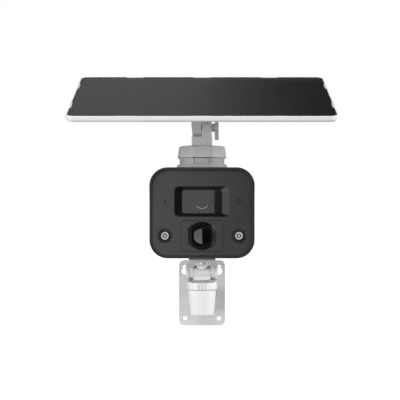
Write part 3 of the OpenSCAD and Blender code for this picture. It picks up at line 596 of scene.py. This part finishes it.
def sweep_round_panel(bm, section):
    """Sweeps a closed section of (inset, depth) points in mm round the panel's outline."""
    low, high = in_panel("panel_frame")
    middle, half = (low + high) / 2, (high - low) / 2
    loops = []
    for inset, depth in section:
        radius = CORNER - inset if inset < CORNER - 1 else LEDGE_CORNER
        outline = rounded_loop(half.x - inset * MM, half.y - inset * MM, radius * MM)
        height = high.z - depth * MM
        loops.append([bm.verts.new(from_panel(x + middle.x, y + middle.y, height)) for x, y in outline])
    for a, b in zip(loops, loops[1:] + loops[:1]):
        for i in range(len(a)):
            j = (i + 1) % len(a)
            bm.faces.new((a[i], a[j], b[j], b[i]))


def add_tabs(bm):
    """Adds the tabs that hold the cover: three on each long side and two on each short side."""
    length, reach, lap = 19.5 * MM, 1.25 * MM, 0.2 * MM
    low, high = in_panel("panel_frame")
    middle, half = (low + high) / 2, (high - low) / 2
    bottom, top = high.z - 0.72 * MM, high.z - 0.22 * MM
    for side in (-1, 1):
        edge = middle.y + side * (half.y - BORDER * MM + lap)
        y0, y1 = sorted((edge, edge - side * (reach + lap)))
        for x in (-78 * MM, 0, 78 * MM):
            add_block(bm, (x - length / 2, y0, bottom), (x + length / 2, y1, top), from_panel, 0.12 * MM)
        edge = side * (half.x - BORDER * MM + lap)
        x0, x1 = sorted((edge, edge - side * (reach + lap)))
        for y in (middle.y - 41 * MM, middle.y + 41 * MM):
            add_block(bm, (x0, y - length / 2, bottom), (x1, y + length / 2, top), from_panel, 0.12 * MM)


def frame_piece():
    """The white border: a rounded section swept round the panel, its ledge, and the retaining tabs."""
    low, high = in_panel("panel_frame")
    thickness = (high.z - low.z) / MM
    front_round, back_round = 0.8, 3.4
    ledge_top, ledge_bottom, ledge_reach = 3.4, 4.6, 8.0
    section = [(BORDER, 0.2), (BORDER - 0.2, 0)]
    section += [(front_round * (1 - math.sin(t)), front_round * (1 - math.cos(t)))
                for t in (math.radians(15 * i) for i in range(7))]
    section += [(back_round * (1 - math.cos(t)), thickness - back_round * (1 - math.sin(t)))
                for t in (math.radians(10 * i) for i in range(9))]
    section += [(SKIRT, thickness), (SKIRT, ledge_bottom), (ledge_reach, ledge_bottom), (ledge_reach, ledge_top),
                (BORDER, ledge_top)]
    bm = bmesh.new()
    sweep_round_panel(bm, section)
    add_tabs(bm)
    bmesh.ops.recalc_face_normals(bm, faces=bm.faces)
    finish_piece("panel_border", bm, "panel_frame", ["panel_frame"])


def panel_seal():
    """Black glazing seal in the corner between the border and the cover."""
    inside, outside, top, bottom = 2.1, BORDER - 0.02, 0.4, 0.76
    section = [(outside, bottom), (outside, top)] + [
        (inside - 0.3 + 0.3 * math.sin(t), top + 0.3 - 0.3 * math.cos(t)) for t in (0, 0.5, 1.0, math.pi / 2)]
    section.append((inside, bottom))
    bm = bmesh.new()
    sweep_round_panel(bm, section)
    bmesh.ops.recalc_face_normals(bm, faces=bm.faces)
    finish_piece("panel_glazing_seal", bm, "panel_cover", slot="black_plastic")


# ---------- lens ----------

def highlight_arc(front):
    """Painted highlight: a thin glowing bar bent round the lower part of the lens, on the barrel's front face,
    where the barrel's rim reflects light.
    """
    bm = bmesh.new()
    bend, thick, proud, sweep = 7.35 * MM, 0.46 * MM, 0.1 * MM, math.radians(118)
    steps, sides = 40, 12
    rings = []
    for i in range(steps + 1):
        share = i / steps
        turn = -math.pi / 2 + sweep * (share - 0.5)
        taper = thick * math.sqrt(max(0.05, 1 - (2 * share - 1) ** 8))
        ring = []
        for k in (2 * math.pi * j / sides for j in range(sides)):
            radius = bend + taper * math.cos(k)
            place = Vector((radius * math.cos(turn), taper * math.sin(k) - proud, radius * math.sin(turn)))
            ring.append(bm.verts.new(front + place))
        rings.append(ring)
    for a, b in zip(rings, rings[1:]):
        for j in range(sides):
            bm.faces.new((a[j], a[(j + 1) % sides], b[(j + 1) % sides], b[j]))
    bm.faces.new(rings[0])
    bm.faces.new(rings[-1])
    bmesh.ops.recalc_face_normals(bm, faces=bm.faces)
    finish_piece("lens_rim_painted_highlight", bm, "lens_barrel", slot="clear_plastic", look="light_guide")


def lens_pieces():
    """The barrel with its stepped baffles, the glowing bar of painted highlight on it, and the crowned front
    lens.
    """
    low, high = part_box("lens_barrel")
    front = front_of("lens_barrel")
    depth = (high.y - low.y) / MM
    rim = [(8.2, 0.3), (8.0, 0.05), (7.5, 0.05)]
    baffles = [(7.35 - 0.32 * i, 0.35 + 0.28 * i) for i in range(7)]
    steps = [point for radius, at in baffles for point in ((radius, at), (radius - 0.2, at))]
    tube = [(5.4, 2.6), (5.4, depth), (7.4, depth), (7.4, 1.6), (8.2, 1.6)]
    turned_piece("lens_barrel_rings", rim + steps + tube, front, "lens_barrel", ["lens_barrel"])
    # glowing bar of painted highlight on the barrel's lower rim
    highlight_arc(front)
    lens = Vector((front.x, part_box("front_lens")[0].y, front.z))
    lens_r, crown_r, lens_back = 5.35, 9, 3.6
    crown = arc(0, crown_r, crown_r, -90, -90 + math.degrees(math.asin(lens_r / crown_r)), 12)
    glass = crown + [(lens_r, lens_back), (0, lens_back)]
    turned_piece("front_lens_glass", glass, lens, "front_lens", ["front_lens"], look="lens_glass")


# ---------- motion sensor dome ----------

def recess_liner():
    """Thin satin liner over the cone that surrounds the dome, above and below the recess's wings."""
    cone_radius, wings_from, gap, thickness = 15.8 * MM, 11.6 * MM, 0.1 * MM, 0.06 * MM
    front = front_of("motion_frame")
    bm = copy_of("motion_frame")
    outside = []
    for face in bm.faces:
        place = face.calc_center_median() - front
        in_cone = abs(place.x) <= wings_from and math.hypot(place.x, place.z) <= cone_radius
        if not in_cone or place.y < 0.02 * MM or face.normal.y > -0.1:
            outside.append(face)
    bmesh.ops.delete(bm, geom=outside, context="FACES")
    bm.normal_update()
    for vert in bm.verts:
        vert.co += vert.normal * gap
    bmesh.ops.solidify(bm, geom=bm.faces[:], thickness=thickness)
    bmesh.ops.recalc_face_normals(bm, faces=bm.faces)
    finish_piece("motion_recess_liner", bm, "motion_frame", slot="satin_black")


def dome_piece():
    """The motion sensor's thin dome, and the satin rim round its foot."""
    low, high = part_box("motion_dome")
    front = front_of("motion_dome")
    dome_r, base_r, wall, rim_r = 14.0, 11.5, 1.0, 15.0
    to_base = math.sqrt(dome_r ** 2 - base_r ** 2)
    base, back = dome_r - to_base, (high.y - low.y) / MM
    inner_r = math.sqrt((dome_r - wall) ** 2 - to_base ** 2)
    outer = arc(0, dome_r, dome_r, -90, -math.degrees(math.atan2(to_base, base_r)), 28)
    inner = arc(0, dome_r, dome_r - wall, -math.degrees(math.atan2(to_base, inner_r)), -90, 20)
    foot = [(base_r, back), (inner_r, back)]
    turned_piece("motion_dome_shell", outer + foot + inner, front, "motion_dome", ["motion_dome"], 128)
    ring = [(base_r + 0.02, back), (base_r + 0.02, base + 0.5), (base_r + 0.6, base + 0.1), (rim_r - 0.3, base),
            (rim_r, base + 0.3), (rim_r, back)]
    turned_piece("motion_dome_rim", ring, front, "motion_dome", slot="satin_black", segments=128)


# ---------- release button's spring and light sensor ----------

def spring_piece():
    """The button's coil, a piece with a mesh of its own."""
    bm = bmesh.new()
    bm.from_mesh(frame["nodes"]["button_spring"].data)
    coil = finish_piece("button_coil", bm, "button_spring", ["button_spring"], smooth_under=60)
    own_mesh(coil)


def sensor_ring():
    """Thin dark gasket round the light sensor's window."""
    low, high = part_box("light_sensor_window")
    radius = (high.x - low.x) / 2 / MM
    ring = [(radius - 0.45, 0.3), (radius - 0.45, -0.04), (radius - 0.3, -0.12), (radius + 0.1, -0.12),
            (radius + 0.25, -0.04), (radius + 0.25, 0.3)]
    turned_piece("light_sensor_gasket", ring, front_of("light_sensor_window"), "light_sensor_window",
                 slot="satin_black", segments=64)


# ---------- spotlights ----------

def spotlight_pieces():
    """A ringed lens with a dark groove and four dark contacts round a bright chip, in each cup."""
    low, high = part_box("spotlight_lenses")
    lens, contacts = bmesh.new(), bmesh.new()
    radius = 4.5
    for x in (low.x + radius * MM, high.x - radius * MM):
        front = Vector((x, low.y, (low.z + high.z) / 2))
        ring = [(2.35, 2.1), (2.35, 0.9)] + arc(3.4, 0.95, 1.0, -180, 0, 12) + [(4.45, 1.2), (4.45, 2.1)]
        turned(lens, ring, front, 64)
        turned(lens, [(0, 0.7)] + arc(0.75, 1.3, 0.6, -90, 0, 6) + [(1.35, 1.55), (0, 1.55)], front, 48)
        for k in range(4):
            turn = math.radians(45 + 90 * k)
            place = front + Vector((1.85 * MM * math.cos(turn), 0, 1.85 * MM * math.sin(turn)))
            turned(contacts, [(0, 0.95), (0.3, 0.95), (0.4, 1.05), (0.4, 1.55), (0, 1.55)], place, 24)
    for bm in (lens, contacts):
        bmesh.ops.recalc_face_normals(bm, faces=bm.faces)
    finish_piece("spotlight_ring_lenses", lens, "spotlight_lenses", ["spotlight_lenses"])
    finish_piece("spotlight_contacts", contacts, "spotlight_cups", slot="black_plastic")


# ---------- stage, lights and camera ----------

FLOOR_DROP = 0.5  # metres
LIGHT_TARGET = (0, -0.08, 0.1)


def make_floor():
    """A wide white floor, far enough below the object for the views from below."""
    bm = bmesh.new()
    bmesh.ops.create_grid(bm, x_segments=1, y_segments=1, size=20)
    mesh = bpy.data.meshes.new("floor")
    bm.to_mesh(mesh)
    bm.free()
    floor = bpy.data.objects.new("floor", mesh)
    floor.location.z = cad_low.z - FLOOR_DROP
    bpy.context.scene.collection.objects.link(floor)
    material, tree, shader = new_material("floor")
    tone = mix_colours(tree, spread(tree, noise(tree, 0.6, 3), 0, 1), (0.86, 0.86, 0.86), (0.9, 0.9, 0.9))
    tree.links.new(tone, shader.inputs["Base Color"])
    shader.inputs["Roughness"].default_value = 0.9
    shader.inputs["Emission Color"].default_value = (1, 1, 1, 1)
    shader.inputs["Emission Strength"].default_value = 1.0
    mesh.materials.append(material)
    floor.visible_diffuse = floor.visible_glossy = floor.visible_transmission = False


def make_light(name, place, target, width, height, radiance, glossy=True, diffuse=True):
    """A soft rectangular light of the given radiance, which faces target."""
    data = bpy.data.lights.new(name, "AREA")
    data.shape = "RECTANGLE"
    data.size, data.size_y = width, height
    data.energy = radiance * math.pi * width * height
    light = bpy.data.objects.new(name, data)
    light.location = place
    light.rotation_euler = (Vector(target) - Vector(place)).to_track_quat("-Z", "Y").to_euler()
    light.visible_camera = False
    light.visible_glossy = glossy
    light.visible_diffuse = diffuse
    bpy.context.scene.collection.objects.link(light)


def make_world():
    """White behind the object, and a dimmer even light on it."""
    world = bpy.data.worlds.new("studio")
    bpy.context.scene.world = world
    world.use_nodes = True
    tree = world.node_tree
    seen = tree.nodes["Background"]
    seen.inputs["Color"].default_value = (1, 1, 1, 1)
    seen.inputs["Strength"].default_value = 1.0
    fill = tree.nodes.new("ShaderNodeBackground")
    fill.inputs["Color"].default_value = (1, 1, 1, 1)
    fill.inputs["Strength"].default_value = 0.3
    path = tree.nodes.new("ShaderNodeLightPath")
    mixed = tree.nodes.new("ShaderNodeMixShader")
    tree.links.new(path.outputs["Is Camera Ray"], mixed.inputs["Fac"])
    tree.links.new(fill.outputs["Background"], mixed.inputs[1])
    tree.links.new(seen.outputs["Background"], mixed.inputs[2])
    tree.links.new(mixed.outputs["Shader"], tree.nodes["World Output"].inputs["Surface"])
    world.cycles_visibility.glossy = False


def make_camera():
    """Level with the middle of the body, straight in front, with the photograph's small shift."""
    data = bpy.data.cameras.new("camera")
    data.lens, data.sensor_width = 103.0, 36.0
    data.shift_x, data.shift_y = -0.005, 0.03
    data.clip_start, data.clip_end = 0.05, 60
    camera = bpy.data.objects.new("camera", data)
    camera.location = (0, -1.339, centre_of("front_hood").z + 1.0 * MM)
    camera.rotation_euler = (math.radians(90), 0, 0)
    bpy.context.scene.collection.objects.link(camera)
    bpy.context.scene.camera = camera


def make_lights():
    """Two broad lights for the reflections only, soft lights for the surfaces, and a dim one behind."""
    make_light("key_wall", (-4.96, -2.6, 2.1), (-4.96, 0, 2.1), 10.0, 5.7, 1.5, diffuse=False)
    make_light("key_floor", (-4.96, -1.15, -0.75), (-4.96, -1.15, 0), 10.0, 2.9, 1.8, diffuse=False)
    make_light("left_soft", (-2.0, -1.45, 0.25), LIGHT_TARGET, 1.2, 1.2, 7.8, glossy=False)
    make_light("front_high", (-0.2, -2.6, 1.3), LIGHT_TARGET, 1.2, 1.2, 5.5, glossy=False)
    make_light("right_soft", (1.95, -0.4, 0.45), LIGHT_TARGET, 1.0, 1.2, 10.0, glossy=False)
    make_light("top", (-0.3, -0.3, 1.9), (0, 0, 0.1), 1.4, 1.0, 1.0, glossy=False)
    make_light("back_sky", (-1.3, 2.5, 2.3), (0, -0.07, 0.19), 3.2, 2.4, 0.34, diffuse=False)


# ---------- the whole scene ----------

bracket_and_mount()
frame_piece()
panel_seal()
lens_pieces()
recess_liner()
dome_piece()
spring_piece()
sensor_ring()
spotlight_pieces()

bpy.context.scene.view_settings.view_transform = "Standard"
make_floor()
make_world()
make_lights()
make_camera()
